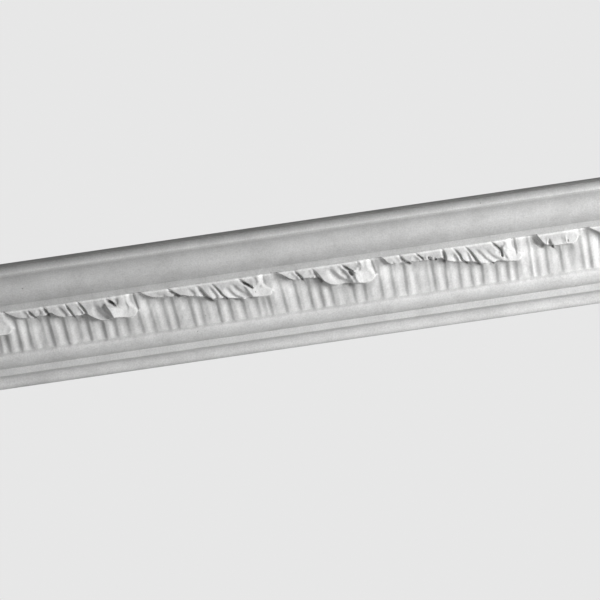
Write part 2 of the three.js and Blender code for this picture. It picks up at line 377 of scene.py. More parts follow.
FOURTH_LEAF = Leaf(
    start=380.0,
    tip=141.0,
    tongue=19.0,
    swell=0.4,
    set_back=5.5,
    edge=(
        (0, 0.6), (3, 3), (5, 5.4), (7, 7.6), (9.5, 9), (14, 9.6), (20, 9.4), (27, 9.6),
        (33, 10.2), (44, 10.4), (54, 10.9), (61, 10.6), (63.5, 12.6), (67, 14.2), (70, 15.3),
        (76, 16.2), (82, 17.2), (88, 18), (92, 18.6), (96, 20.3), (101, 21.9), (106, 22.6),
        (112, 22), (118, 21.2), (123, 22.4), (130, 23.6), (136, 23.8), (139.5, 21.6), (141, 19),
    ),
    cuts=(
        hollow((11, 5.8), (13, 9.4), sink=0.6, width=0.6),
        hollow((12.5, 3.4), (16, 5), (19.4, 8.2), sink=1.0),
        vein((18.6, 1), (21.4, 4.6), (23.6, 7.2), (27.6, 10), sink=5.0, width=1.0),
        hollow((31, 5), (34.8, 6.6), sink=0.9, width=1.0),
        vein((35, 1.2), (39, 4.6), (41.8, 7.4), sink=3.2, width=0.6),
        eye((38, 9.6), (38.3, 10.2), sink=0.9, width=0.8),
        bead((45.4, 5.6), (45.6, 7.4), sink=0.7, width=1.1),
        eye((48.3, 7.9), (49.7, 9.6), sink=5.2, width=1.5),
        bead((52, 8), (52, 10), sink=0.5, width=0.8),
        eye((54, 9.6), (54.8, 10.4), sink=5.0, width=1.15),
        vein((62.4, 1.2), (64, 6), (64.4, 9.6), (64.2, 12.8), sink=5.4, width=1.0),
        hollow((72, 7), (73, 10), (75, 13.8), sink=2.0),
        vein((73.5, 2), (77, 6), (79.6, 10), (81.2, 15), (85, 18), sink=4.2, width=0.75),
        hollow((84.5, 6), (87, 10), (88.4, 17), sink=1.2, width=0.9),
        vein((85, 1.8), (90, 7.4), (93.2, 13), (95.2, 17), (97.4, 20.4), sink=4.8, width=0.85),
        hollow((94.5, 5), (97.5, 9.4), (101, 13), (103.8, 17), (108, 21), sink=1.9, width=1.0),
        hollow((103, 6), (107, 11), (110.6, 15.4), (113.6, 18), (118.5, 20.8), sink=1.5),
        hollow((115, 11), (118, 12.6), sink=0.7, width=0.7),
        eye((111, 22.3), (111.2, 22.5), sink=3.4, width=1.0),
        vein((111.6, 1.6), (116, 5), (119.6, 8.8), sink=5.0, width=0.9),
        eye((120.9, 10.8), (121.1, 16.2), sink=5.4, width=1.15),
        hollow((124.2, 2.6), (123.8, 4.4), sink=0.9, width=0.9),
        hollow((121, 5.4), (121, 8), sink=1.0, width=0.8),
        hollow((124.6, 8.2), (125, 9.4), sink=0.5, width=0.8),
        hollow((123.2, 17.6), (124.2, 18), sink=0.8, width=0.7),
        hollow((134.4, 0.2), (134.8, 1), (135, 8), (135.3, 15.5), sink=1.4, width=0.55),
    ),
)

ROUND_LEAF = Leaf(
    start=533.0,
    tip=46.5,
    edge=(
        (4.5, 1), (7, 5.2), (9.5, 9), (12, 11.6), (16, 12.6), (20, 14), (27, 14.4), (34, 14.4),
        (40, 14.8), (43.5, 12.6), (46.5, 8),
    ),
    cuts=(
        eye((2.8, 6.4), (5, 9.2), (8.4, 12.2), sink=3.4, width=2.4),
        hollow((12.5, 3), (13, 9), sink=0.5, width=0.9),
        vein((16.6, 6.4), (17.4, 10.6), (19.6, 14), sink=5.2, width=1.0),
        hollow((27, 6.6), (29.4, 10.4), sink=0.5, width=1.5),
        bead((33.2, 5.4), (33.2, 11), sink=0.6, width=0.8),
        eye((35, 10.4), (35.1, 11), sink=1.6, width=0.8),
    ),
    end=LeafEnd.ROUND,
)

LEAVES = (FIRST_LEAF, SECOND_LEAF, THIRD_LEAF, FOURTH_LEAF, ROUND_LEAF)

EARLIER_LEAF = Leaf(
    start=-107.0,
    tip=113.0,
    edge=(
        (0, 1.5), (20, 10), (60, 14), (78, 22), (96, 23.4), (104, 24.4), (109, 23.6), (113, 20),
    ),
    cuts=(
        hollow((66, 4), (76, 12), (82, 20), sink=2.2, width=1.5),
        hollow((76, 4), (84, 12), (90, 20), sink=1.8, width=1.3),
    ),
)

# Each reed of one repeat, as (width, rise against a usual reed), from the start of the pattern
REEDS: tuple[Span, ...] = (
    *((11.5, 0.9), (11, 0.9), (14, 0.75), (8, 0.3), (14, 1.0), (13.5, 0.85), (10, 0.3), (14.5, 0.9)),
    *((12, 1.0), (13, 0.55), (13, 0.55), (12, 0.6), (14, 0.6), (9.5, 0.45), (16.5, 0.65)),
    *((10, 0.6), (17, 0.55), (12, 0.8), (13, 0.8), (13, 0.6), (8, 0.3), (5, 0.2)),
    *((15, 0.5), (13.5, 0.6), (13.5, 0.6), (11, 0.65), (10, 0.85), (14, 0.6), (8, 0.1), (11, 0.5)),
    *((16.5, 0.65), (12, 0.6), (13.5, 0.55), (12, 0.7), (10, 0.2), (6, 0.15), (12, 0.65)),
    *((14, 0.6), (11.5, 0.65), (11, 0.6), (14.5, 0.85), (11, 0.65)),
    *((9, 0.65), (14.5, 0.55), (7, 0.55), (10, 0.5), (14, 0.6), (11.5, 0.55), (9.5, 0.2), (8.5, 0.5)),
)


class Curve(Enum):
    """The curves of the members, from the top down."""

    CYMA = "hollow above, round below and nearly upright between"
    OVOLO = "upright above, rolling under below"
    CAVETTO = "under the quirk above, upright below"

    def at(self, share: float) -> Span:
        """Follow the curve.

        Args:
            share: How far along the curve, from 0 to 1.

        Returns:
            The share of the fall and the share of the step back.
        """
        if self is Curve.CYMA:
            from_middle = 2.0 * share - 1.0
            bulge = math.copysign(abs(from_middle) ** 1.7, from_middle)
            return share, 0.5 + 0.5 * (0.25 * from_middle + 0.75 * bulge)
        if self is Curve.OVOLO:
            full = math.radians(82.0)
            turn = share * full
            return math.sin(turn) / math.sin(full), (1.0 - math.cos(turn)) / (1.0 - math.cos(full))
        turn = share * math.pi / 2.0
        return 1.0 - math.cos(turn), math.sin(turn)


@dataclass(frozen=True)
class Member:
    """One member of the profile.

    Attributes:
        fall: How far it falls.
        back: How far it steps back towards the wall; a negative value leans out.
        curve: Its curve, or None if it is flat.
    """

    fall: float
    back: float
    curve: Curve | None = None


@dataclass
class Profile:
    """The cross-section of the moulding, in millimetres, the same as the solid's.

    Attributes:
        length: The cut length.
        wall_face: Height of the face on the wall.
        ceiling_face: Width of the face on the ceiling.
        foot: Thickness of the lower edge at the wall.
        above: The members above the carved band.
        band: The carved band.
        below: The members below it.
        curve_steps: Flats in a curved member.
        carved_rows: Depths in the band where its rows get wide and where they get close again.
    """

    length: float = 640.0
    wall_face: float = 60.0
    ceiling_face: float = 43.0
    foot: float = 9.0
    above: tuple[Member, ...] = (
        Member(7.4, -1.0),
        Member(0.9, 2.0),
        Member(31.0, 24.0, Curve.CYMA),
        Member(1.2, 2.0),
        Member(5.6, 0.4),
    )
    band: Member = Member(46.7, 4.6)
    below: tuple[Member, ...] = (
        Member(12.1, 9.0, Curve.OVOLO),
        Member(0.5, 0.5),
        Member(6.5, -0.3),
        Member(1.6, 3.8),
        Member(12.1, 9.2, Curve.CAVETTO),
        Member(1.4, 0.8),
    )
    curve_steps: int = 14
    carved_rows: Span = (27.0, 41.0)

    @property
    def members(self) -> tuple[Member, ...]:
        """All the members from the ceiling down."""
        return (*self.above, self.band, *self.below)

    @property
    def drop(self) -> float:
        """The height of the whole moulding."""
        return sum(member.fall for member in self.members)

    @property
    def projection(self) -> float:
        """How far out of the wall the top arris stands."""
        return self.foot + sum(member.back for member in self.members)

    @property
    def ceiling_level(self) -> float:
        """Height of the ceiling face above the origin."""
        return self.drop - self.wall_face / 2.0

    @property
    def band_top(self) -> float:
        """Depth of the band's top below the ceiling face."""
        return sum(member.fall for member in self.above)

    @property
    def fillet_out(self) -> float:
        """How far out of the wall the flat fillet's foot stands."""
        return self.projection - sum(member.back for member in self.above)

    def band_line(self, depth: Array) -> Array:
        """How far out the plain face of the band stands before it is carved."""
        return self.fillet_out - self.band.back * depth / self.band.fall

    def band_rows(self) -> Array:
        """Divide the band into rows, close together where there are leaves and at the foot.

        Returns:
            The depths of the rows.
        """
        leaves_end, foot_start = self.carved_rows
        leaf_rows = np.linspace(0.0, leaves_end, 50)
        reed_rows = np.linspace(leaves_end, foot_start, 6)[1:]
        foot_rows = np.linspace(foot_start, self.band.fall, 11)[1:]
        return np.concatenate([leaf_rows, reed_rows, foot_rows])

    def outline(self) -> list[Span]:
        """Lay out the section.

        Returns:
            Points of (out of the wall, depth below the ceiling), from the top arris round to the
            back.
        """
        out, down = self.projection, 0.0
        points = [(out, down)]
        for member in self.members:
            if member is self.band:
                points += [(self.band_line(row), down + row) for row in self.band_rows()[1:-1]]
            if member.curve is not None:
                for step in range(1, self.curve_steps):
                    fall_share, back_share = member.curve.at(step / self.curve_steps)
                    points.append((out - member.back * back_share, down + member.fall * fall_share))
            out -= member.back
            down += member.fall
            points.append((out, down))
        points += [(0.0, self.drop), (0.0, self.drop - self.wall_face)]
        points.append((self.projection - self.ceiling_face, 0.0))
        return points


@dataclass
class ReedRow:
    """The row of reeds under the leaves.

    Attributes:
        floor_top: How far out of the wall the floor between reeds stands at the top.
        floor_foot: The same at the foot.
        rim: How far out the rim below the reeds stands.
        fall: Depth of the rim's upper edge.
        rise: How far a usual reed stands out of its floor.
        rise_lost: The share of its rise that a reed loses towards its foot.
        run_out: How far above the rim the reeds start to run out into it.
        leans: How much the reeds lean for each millimetre of fall, as (place along, lean).
        level: The depth at which each reed has its listed place.
        wander: How far a reed wanders from a straight line.
        shift: How far the first reed starts after the start of the pattern.
        left_side: Width of a reed's left side.
        crest: Where the fall to the right starts, as a share of the width.
        right_side: Width of that fall, as a share of the width.
    """

    floor_top: float = 30.0
    floor_foot: float = 28.0
    rim: float = 32.0
    fall: float = 46.2
    rise: float = 1.75
    rise_lost: float = 0.4
    run_out: float = 4.6
    leans: Knots = ((0, 0.09), (150, 0.12), (300, 0.11), (420, 0.03), (590, 0))
    level: float = 33.5
    wander: float = 0.35
    shift: float = -0.2
    left_side: float = 4.2
    crest: float = 0.50
    right_side: float = 0.44

    def section(self, share: Array, width: Array) -> Array:
        """Shape one reed: a steep left side, a full top and a long fall to the right.

        Args:
            share: Place across the reed, from 0 to 1.
            width: Width of the reed.

        Returns:
            The height, as a share of the crest.
        """
        climb = smooth_step(0.0, self.left_side, share * width)
        right = np.clip((share - self.crest) / self.right_side, 0.0, 1.0) ** 0.85
        return climb * (1.0 - smooth_step(0.0, 1.0, right))

    def surface(self, along: Array, depth: Array) -> Array:
        """Carve the reeds.

        Args:
            along: Places along the run.
            depth: Depths in the band.

        Returns:
            How far out of the wall the reeds stand.
        """
        lean = flowing(along, self.leans)
        wander = self.wander * ripple(along, depth, 60.0, 11)
        place = along - lean * (depth - self.level) + wander
        start = PATTERN_START + self.shift - PATTERN_REPEAT
        widths = np.array([reed[0] for reed in REEDS] * 3)
        rises = np.array([reed[1] for reed in REEDS] * 3)
        valleys = start + np.concatenate([[0.0], np.cumsum(widths)])
        index = np.clip(np.searchsorted(valleys, place) - 1, 0, len(widths) - 1)
        share = (place - valleys[index]) / widths[index]
        crest = self.rise * rises[index] * (1.0 - self.rise_lost * smooth_step(33.0, 45.0, depth))
        dome = crest * self.section(share, widths[index])
        floor = self.floor_top + (self.floor_foot - self.floor_top) * depth / self.fall
        reeds = floor + dome
        sweep = smooth_step(self.fall - self.run_out, self.fall - 0.6, depth) ** 1.2
        return reeds + (self.rim - reeds) * sweep


@dataclass
class LeafRow:
    """The leaves that lie over the top of the reeds.

    Attributes:
        out: How far out of the wall the body of a leaf stands.
        brow: How far the top of a leaf is rounded back to the flat fillet.
        wall: Width over which an edge drops.
        tongue_swell: How far the thick root of a leaf's tongue swells over the leaf.
        end_fall: How far the end of a leaf falls towards the reeds.
        dive: How that fall grows, as (place from the tip, share), for a curled leaf.
        dive_above: The share of it that the part above the tongue has.
        lobe: The same as the dive for a round leaf.
        lobe_share: The share of the fall that a round leaf has.
        curl_rise: How far the curl swells over the leaf.
        curl_place: The middle of the curl, as (place from the tip, depth).
        curl_radius: Its radius.
        joint_rise: How far the reeds stand out where one leaf ends and the next begins.
        joint_reach: How far along the run that goes.
    """

    out: float = 38.2
    brow: float = 1.5
    wall: float = 0.9
    tongue_swell: float = 3.1
    end_fall: float = 4.3
    dive: Knots = ((-31, 0), (-22, 0.12), (-6, 0.76), (1, 1))
    dive_above: float = 0.40
    lobe: Knots = ((-24, 0), (-16, 0.08), (-5, 0.62), (0, 1))
    lobe_share: float = 0.65
    curl_rise: float = 1.1
    curl_place: Span = (-15.5, 5.0)
    curl_radius: float = 6.0
    joint_rise: float = 3.4
    joint_reach: float = 14.0

    def placed(self, length: float) -> list[tuple[Leaf, float]]:
        """Place the leaves along a run.

        Args:
            length: The cut length.

        Returns:
            Each leaf with the place of its start along the run.
        """
        places = [(EARLIER_LEAF, PATTERN_START + EARLIER_LEAF.start)]
        origin = PATTERN_START
        while origin < length:
            places += [(leaf, origin + leaf.start) for leaf in LEAVES]
            origin += PATTERN_REPEAT
        return [(leaf, start) for leaf, start in places if start < length]

    def joint(self, leaf: Leaf, run: Array, depth: Array) -> Array:
        """Tell how far the reeds come forward at the tip of a leaf, to meet it."""
        beside = hump(run - leaf.tip + 1.0, self.joint_reach)
        return self.joint_rise * beside * smooth_step(40.0, 14.0, depth)

    def carve(self, leaf: Leaf, run: Array, depth: Array, ground: Array) -> Array:
        """Lay one leaf over the ground behind it.

        Args:
            leaf: The leaf.
            run: Places along the run, from the leaf's start.
            depth: Depths in the band.
            ground: How far out the reeds stand behind it.

        Returns:
            How far out the surface stands with the leaf on it.
        """
        edge = flowing(run, leaf.edge)
        slope = (flowing(run + 0.3, leaf.edge) - flowing(run - 0.3, leaf.edge)) / 0.6
        inside = smooth_step(-0.1, self.wall, (edge - depth) / np.hypot(1.0, slope))
        inside *= smooth_step(leaf.edge[0][0] - 0.4, leaf.edge[0][0] + 1.0, run)
        inside *= smooth_step(-2.6, 2.6, self.right_side(leaf, depth) - run)
        share = np.clip(depth / np.maximum(edge, 1.0), 0.0, 1.0)
        surface = self.out - self.brow * (1.0 - smooth_step(-1.2, 2.0, depth)) + 0.5 * share ** 2
        if leaf.end is LeafEnd.CURLED:
            surface = self.curl(leaf, run - leaf.tip, depth, surface)
        else:
            surface = surface - self.lobe_share * self.end_fall * flowing(run - leaf.tip, self.lobe)
        carved = ground + (surface - ground) * inside
        for cut in leaf.cuts:
            cut.make(run, depth, carved)
        return carved

    def right_side(self, leaf: Leaf, depth: Array) -> Array:
        """Follow the right side of a leaf down from the top line to its tip.

        Args:
            leaf: The leaf.
            depth: Depths in the band.

        Returns:
            How far from the start the side lies at each depth.
        """
        if leaf.end is LeafEnd.CURLED:
            side = -5.0 - leaf.set_back
            knots = ((0, side), (9, side), (14, 0.5 * side), (17, 0.0), (19, 0.8), (22, 0.8))
        else:
            knots = ((0, -2.6), (3, -1.0), (7, 0.4), (14, 0.4))
        return leaf.tip + flowing(depth, knots)

    def curl(self, leaf: Leaf, from_tip: Array, depth: Array, surface: Array) -> Array:
        """Shape the end of a leaf: a thick tongue that dives to the tip and a curl above it.

        Args:
            leaf: The leaf.
            from_tip: Places along the run, from the tip.
            depth: Depths in the band.
            surface: How far out the leaf stands without its end.

        Returns:
            How far out it stands with its end.
        """
        from_side = from_tip + leaf.set_back * smooth_step(17.0, 12.0, depth)
        above = self.dive_above
        fall = self.end_fall * (above + (1.0 - above) * smooth_step(8.0, 14.0, depth))
        base = surface - fall * flowing(from_side, self.dive)
        curl_x, curl_depth = self.curl_place
        reach = np.hypot(from_tip - curl_x, depth - curl_depth) / self.curl_radius
        base = base + self.curl_rise * smooth_step(1.0, 0.1, reach)
        swell = leaf.swell * self.tongue_swell * smooth_step(-0.42, -0.96, from_tip / leaf.tongue)
        joint = from_tip + leaf.tongue - 0.45 * (depth - 8.0)
        upper = np.clip(8.0 + 0.55 * joint, 8.0, 13.5)
        on_tongue = smooth_step(-2.8, 1.0, joint) * smooth_step(upper - 2.5, upper + 2.0, depth)
        return base + swell * on_tongue


@dataclass
class CarvedBand:
    """The band of leaves over reeds.

    Attributes:
        profile: The profile that it belongs to.
        reeds: The reeds.
        leaves: The leaves over them.
        shadow_fall: How far below a leaf's edge the painted shadow reaches.
        handwork: How uneven the carved surface is.
    """

    profile: Profile
    reeds: ReedRow = field(default_factory=ReedRow)
    leaves: LeafRow = field(default_factory=LeafRow)
    shadow_fall: float = 12.0
    handwork: float = 0.08

    def surface(self, along: Array, depth: Array) -> Array:
        """Carve the whole band.

        Args:
            along: Places along the run.
            depth: Depths in the band.

        Returns:
            How far out of the wall the surface stands.
        """
        out = self.reeds.surface(along, depth)
        for leaf, start in self.leaves.placed(self.profile.length):
            out += self.leaves.joint(leaf, along - start, depth)
        for leaf, start in self.leaves.placed(self.profile.length):
            near = (along > start - 5.0) & (along < start + leaf.tip + 5.0) & (depth < 27.0)
            if near.any():
                run = along[near] - start
                out[near] = self.leaves.carve(leaf, run, depth[near], out[near])
        out += self.handwork * ripple(along, depth, 9.0, 3)
        plain = self.profile.band_line(depth)
        top = smooth_step(0.5, 0.0, depth)
        foot = smooth_step(self.profile.band.fall - 0.5, self.profile.band.fall, depth)
        out = out + (plain - out) * top
        return out + (plain - out) * foot

    def leaf_shadow_mask(self, along: Array, depth: Array) -> Array:
        """Find the places tucked under the leaves, where shadow is painted.

        Args:
            along: Places along the run.
            depth: Depths in the band.

        Returns:
            How deep in painted shadow each place is, from 0 to 1.
        """
        under_leaf_shadow = np.zeros_like(along)
        for leaf, start in self.leaves.placed(self.profile.length):
            run = along - start
            under = depth - flowing(run, leaf.edge)
            covered = smooth_step(leaf.edge[0][0] + 2.0, leaf.edge[0][0] + 12.0, run)
            covered = covered * smooth_step(leaf.tip + 1.0, leaf.tip - 6.0, run)
            # Painted shadow below each leaf's edge
            below = smooth_step(0.0, 1.5, under) * smooth_step(self.shadow_fall, 3.0, under)
            under_leaf_shadow = np.maximum(under_leaf_shadow, covered * below)
        return under_leaf_shadow


@dataclass
class NodeSheet:
    """The nodes of one material and what is led into them.

    Attributes:
        material: The material, with its nodes turned on.
    """

    material: bpy.types.Material

    def feed(self, node: bpy.types.Node, inputs: Feeds) -> None:
        """Give the inputs of a node what it works on.

        Args:
            node: The node.
            inputs: Outputs of other nodes, colours or values, by the name or number of the input.
        """
        for name, source in inputs.items():
            if isinstance(source, Socket):
                self.material.node_tree.links.new(source, node.inputs[name])
            elif isinstance(source, tuple):
                node.inputs[name].default_value = (*source, 1.0)
            else:
                node.inputs[name].default_value = source

    def make(self, kind: str, output: str | int, inputs: Feeds, **settings: str) -> Socket:
        """Add a node.

        Args:
            kind: The kind of node.
            output: The name or number of the output that is wanted.
            inputs: What its inputs are given.
            settings: Its settings by name.

        Returns:
            That output.
        """
        node = self.material.node_tree.nodes.new(kind)
        for name, setting in settings.items():
            setattr(node, name, setting)
        self.feed(node, inputs)
        return node.outputs[output]

    def place(self) -> Socket:
        """Place a texture on the object itself."""
        return self.make("ShaderNodeTexCoord", "Object", {})

    def mark(self, name: str) -> Socket:
        """Read a mark that the mesh carries."""
        return self.make("ShaderNodeAttribute", "Fac", {}, attribute_name=name)

    def noise(self, scale: float, detail: float, rough: float) -> Socket:
        """Add a noise of some fineness, with finer layers and the strength that they have."""
        inputs = {"Vector": self.place(), "Scale": scale, "Detail": detail, "Roughness": rough}
        return self.make("ShaderNodeTexNoise", "Fac", inputs)

    def ramp(self, source: Socket, reach: Span, result: Span = (0.0, 1.0)) -> Socket:
        """Turn one range of a value into another."""
        names = ("Value", "From Min", "From Max", "To Min", "To Max")
        return self.make("ShaderNodeMapRange", "Result", dict(zip(names, (source, *reach, *result))))

    def compute(self, operation: str, *values: Socket | float) -> Socket:
        """Work out one sum."""
        return self.make("ShaderNodeMath", "Value", dict(enumerate(values)), operation=operation)

    def scaled(self, colour: Socket, strength: Socket) -> Socket:
        """Multiply a colour by a strength."""
        return self.make("ShaderNodeVectorMath", "Vector", {0: colour, "Scale": strength}, operation="SCALE")

    def blend(self, share: Socket, first: Socket | Colour, second: Socket | Colour) -> Socket:
        """Mix two colours, which the node takes as inputs 6 and 7 and gives as output 2."""
        return self.make("ShaderNodeMix", 2, {"Factor": share, 6: first, 7: second}, data_type="RGBA")


@dataclass(frozen=True)
class PlasterFinish:
    """The finish of unpainted casting plaster.

    Attributes:
        colour: Colour of the plain cast face.
        shade: Colour in its slow clouds.
        speck: Colour of the small air holes and specks.
        struck: Colour of the struck-off and sawn faces.
        struck_shade: Colour of their darker patches.
        mottle: What the colour is multiplied by on the low and on the high grains.
        roughness: Roughness of the face.
        gloss: How much it shines.
        relief: Height of the grain, in metres.
        relief_strength: How much of that height the light shows.
    """

    colour: Colour = (0.76, 0.76, 0.755)
    shade: Colour = (0.64, 0.64, 0.635)
    speck: Colour = (0.42, 0.42, 0.41)
    struck: Colour = (0.60, 0.60, 0.59)
    struck_shade: Colour = (0.46, 0.46, 0.45)
    mottle: Span = (1.09, 0.91)
    roughness: float = 0.82
    gloss: float = 0.25
    relief: float = 0.0006
    relief_strength: float = 0.6

    def material(self) -> bpy.types.Material:
        """Build the material.

        Returns:
            The plaster material.
        """
        made = bpy.data.materials.new("cast_plaster")
        made.use_nodes = True
        sheet = NodeSheet(made)
        grain = sheet.noise(620.0, 4.0, 0.65)
        mottle = sheet.ramp(grain, (0.36, 0.66), self.mottle)

        # Small air holes over some of the face
        cells = sheet.make("ShaderNodeTexVoronoi", "Distance", {"Vector": sheet.place(), "Scale": 130.0})
        some = sheet.ramp(sheet.noise(45.0, 2.0, 0.5), (0.60, 0.66))
        holes = sheet.compute("MULTIPLY", sheet.ramp(cells, (0.13, 0.05)), some)

        # The cast face, and the struck-off and sawn faces
        clouds = sheet.ramp(sheet.noise(34.0, 6.0, 0.68), (0.40, 0.72))
        face = sheet.scaled(sheet.blend(clouds, self.colour, self.shade), mottle)
        # The painted shade and painted highlight that the mesh carries darken and lighten the face
        toned = sheet.scaled(sheet.blend(holes, face, self.speck), sheet.mark("painted_light"))
        streaks = sheet.ramp(sheet.noise(19.0, 6.0, 0.7), (0.36, 0.66))
        rubbed = sheet.scaled(sheet.blend(streaks, self.struck, self.struck_shade), mottle)

        # The fine relief, in which the air holes are sunk
        height = sheet.compute("MULTIPLY_ADD", grain, 0.35, sheet.noise(110.0, 3.0, 0.5))
        sunk = sheet.compute("SUBTRACT", height, holes)
        bumps = {"Strength": self.relief_strength, "Distance": self.relief, "Height": sunk}
        inputs = {
            "Base Color": sheet.blend(sheet.mark("struck_off"), toned, rubbed),
            "Roughness": self.roughness,
            "Specular IOR Level": self.gloss,
            "Normal": sheet.make("ShaderNodeBump", "Normal", bumps),
        }
        sheet.feed(made.node_tree.nodes["Principled BSDF"], inputs)
        return made


@dataclass
class CorniceSection:
    """The cast moulding: its run, its carving and its finish.

    Attributes:
        profile: The profile.
        finish: The finish.
        columns: Divisions along the plain run, made in two cuts.
        fine_cuts: Cuts of each division in the carved band.
        ease: How far an arris is eased.
        sharp_turn: The turn from which an edge counts as an arris, in radians.
        smooth_turn: The turn up to which two faces are shaded as one, in degrees.
        waviness: How uneven the plain members are.
        under_leaf_shadow: How much the painted shadow under the leaves darkens the colour.
        painted_shading: Painted shade and painted highlight down the profile, standing for how the light
            falls on each member, as (depth below the ceiling, share of the colour).
        piece: The object that it is built as.
    """

    profile: Profile = field(default_factory=Profile)
    finish: PlasterFinish = field(default_factory=PlasterFinish)
    columns: tuple[int, int] = (53, 2)
    fine_cuts: int = 11
    ease: float = 0.45
    sharp_turn: float = 0.35
    smooth_turn: float = 42.0
    waviness: float = 0.10
    under_leaf_shadow: float = 0.20
    # Painted shade and painted highlight for each member, standing for how the light falls on it
    painted_shading: Knots = (
        # The top fillet, with painted shade on the arris at the ceiling
        *((0, 0.38), (1.6, 0.50), (7, 0.96), (8.3, 0.92)),
        # The cyma, with painted shade under the fillet and at its foot
        *((10.5, 0.70), (12.7, 0.76), (17, 0.86), (22, 0.89), (28, 0.89), (38, 0.78)),
        # The flat fillet and a painted highlight along the top of the leaves
        *((44, 0.77), (46.4, 0.88), (47.4, 1.24)),
        # The leaves, the reeds and a painted highlight on the rim
        *((49, 0.98), (51, 0.89), (60, 0.98), (88, 1.01), (92.4, 1.10)),
        # The ovolo, with painted shade on its underside, and the lower fillet
        *((94.6, 1.03), (97, 0.96), (104, 0.92), (108, 1.01)),
        # The cavetto, with painted shade under the quirk, and painted shade on the lower edge
        *((113, 0.95), (119, 1.03), (123, 1.00), (127, 0.68)),
    )
    piece: bpy.types.Object = field(init=False)

    def build(self) -> bpy.types.Object:
        """Model, carve and dress the moulding.

        Returns:
            The finished piece.
        """
        self.lay_out()
        self.draw_out()
        self.ease_arrises()
        self.divide()
        bpy.ops.object.mode_set(mode="OBJECT")
        self.carve()
        self.mark_struck_faces()
        self.age()
        self.dress()
        return self.piece

    def lay_out(self) -> None:
        """Lay out the section as one flat face at the left cut, in a new object in edit mode."""
        points = self.profile.outline()
        bpy.ops.object.select_all(action="DESELECT")
        bpy.ops.mesh.primitive_circle_add(vertices=len(points), radius=0.1, fill_type="NGON")
        self.piece = bpy.context.object
        self.piece.name = "cornice_cast"
        left = -self.profile.length / 2.0 * MM
        for vertex, (out, down) in zip(self.piece.data.vertices, points):
            vertex.co = Vector((left, -out * MM, (self.profile.ceiling_level - down) * MM))
        bpy.ops.object.mode_set(mode="EDIT")

    def draw_out(self) -> None:
        """Draw the section along the length."""
        bpy.ops.mesh.select_all(action="SELECT")
        length = self.profile.length * MM
        bpy.ops.mesh.extrude_region_move(TRANSFORM_OT_translate={"value": (length, 0.0, 0.0)})
        bpy.ops.mesh.select_all(action="SELECT")
        bpy.ops.mesh.normals_make_consistent(inside=False)

    def select_runs(self, keep: EdgeTest) -> None:
        """Select the edges that run along the length and pass a test.

        Args:
            keep: The test.
        """
        mesh = bmesh.from_edit_mesh(self.piece.data)
        bpy.ops.mesh.select_mode(type="EDGE")
        bpy.ops.mesh.select_all(action="DESELECT")
        for edge in mesh.edges:
            first, second = (vertex.co for vertex in edge.verts)
            along = abs(first.x - second.x) > 1e-6
            edge.select_set(along and keep(edge))
        bmesh.update_edit_mesh(self.piece.data)

    def depth_of(self, point: Vector) -> float:
        """The depth of a point below the top of the band, in millimetres."""
        return self.profile.ceiling_level - point.z / MM - self.profile.band_top

    def on_band(self, out: float | Array, depth: float | Array) -> bool | Array:
        """Tell the plain face of the band, which is to be carved, from everything else.

        Args:
            out: How far out of the wall a point stands.
            depth: Its depth below the top of the band.

        Returns:
            Whether it lies on that face.
        """
        within = (depth > -TOLERANCE) & (depth < self.profile.band.fall + TOLERANCE)
        return within & (np.abs(out - self.profile.band_line(depth)) < 2.0 * TOLERANCE)

    def measure(self) -> tuple[Array, Array]:
        """Read where the vertices are.

        Returns:
            Their points in millimetres, and their places along the run.
        """
        flat = np.empty(len(self.piece.data.vertices) * 3)
        self.piece.data.vertices.foreach_get("co", flat)
        points = flat.reshape(-1, 3) / MM
        return points, points[:, 0] + self.profile.length / 2.0

    def ease_arrises(self) -> None:
        """Ease every sharp arris that runs along the length, except those of the carved band."""
        fall = self.profile.band.fall

        def sharp(edge: bmesh.types.BMEdge) -> bool:
            """Whether an edge is an arris of a plain member."""
            plain = not -0.1 <= self.depth_of(edge.verts[0].co) <= fall + 0.1
            return plain and len(edge.link_faces) == 2 and edge.calc_face_angle() > self.sharp_turn

        self.select_runs(sharp)
        bpy.ops.mesh.bevel(offset=self.ease * MM, segments=2, affect="EDGES", clamp_overlap=True)

    def divide(self) -> None:
        """Divide the run into columns, finely across the carved band."""
        for parts in self.columns:
            self.select_runs(lambda edge: True)
            bpy.ops.mesh.subdivide(number_cuts=parts - 1)

        def in_band(edge: bmesh.types.BMEdge) -> bool:
            """Whether an edge lies on the face of the band."""
            point = edge.verts[0].co
            return bool(self.on_band(-point.y / MM, self.depth_of(point)))

        self.select_runs(in_band)
        bpy.ops.mesh.subdivide(number_cuts=self.fine_cuts)

    def carve(self) -> None:
        """Carve the band and give the plain members the slight unevenness of a cast."""
        points, along = self.measure()
        out = -points[:, 1]
        depth = self.profile.ceiling_level - points[:, 2] - self.profile.band_top
        band = self.on_band(out, depth)
        points[band, 1] = -CarvedBand(self.profile).surface(along[band], depth[band])
        under_ceiling = points[:, 2] < self.profile.ceiling_level - 0.2
        plain = ~band & (out > self.profile.foot * 0.5) & under_ceiling
        waves = ripple(along[plain], depth[plain], 90.0, 5)
        points[plain, 1] += self.waviness * (1.0 + np.tanh(waves))
        self.piece.data.vertices.foreach_set("co", (points * MM).ravel())
        self.piece.data.update()

    def mark_struck_faces(self) -> None:
        """Mark the faces that were struck off or sawn, for their rougher finish."""
        mark = self.piece.data.attributes.new("struck_off", "FLOAT", "FACE")
        values = []
        for face in self.piece.data.polygons:
            behind = face.normal.y > 0.3
            above = face.normal.z > 0.9 and face.center.z > (self.profile.ceiling_level - 1.0) * MM
            sawn = abs(face.normal.x) > 0.999
            values.append(float(behind or above or sawn))
        mark.data.foreach_set("value", values)

    def age(self) -> None:
        """Paint shade and highlight down the profile, and shadow under the leaves, into a mark on each point.
        """
        points, along = self.measure()
        down = self.profile.ceiling_level - points[:, 2]
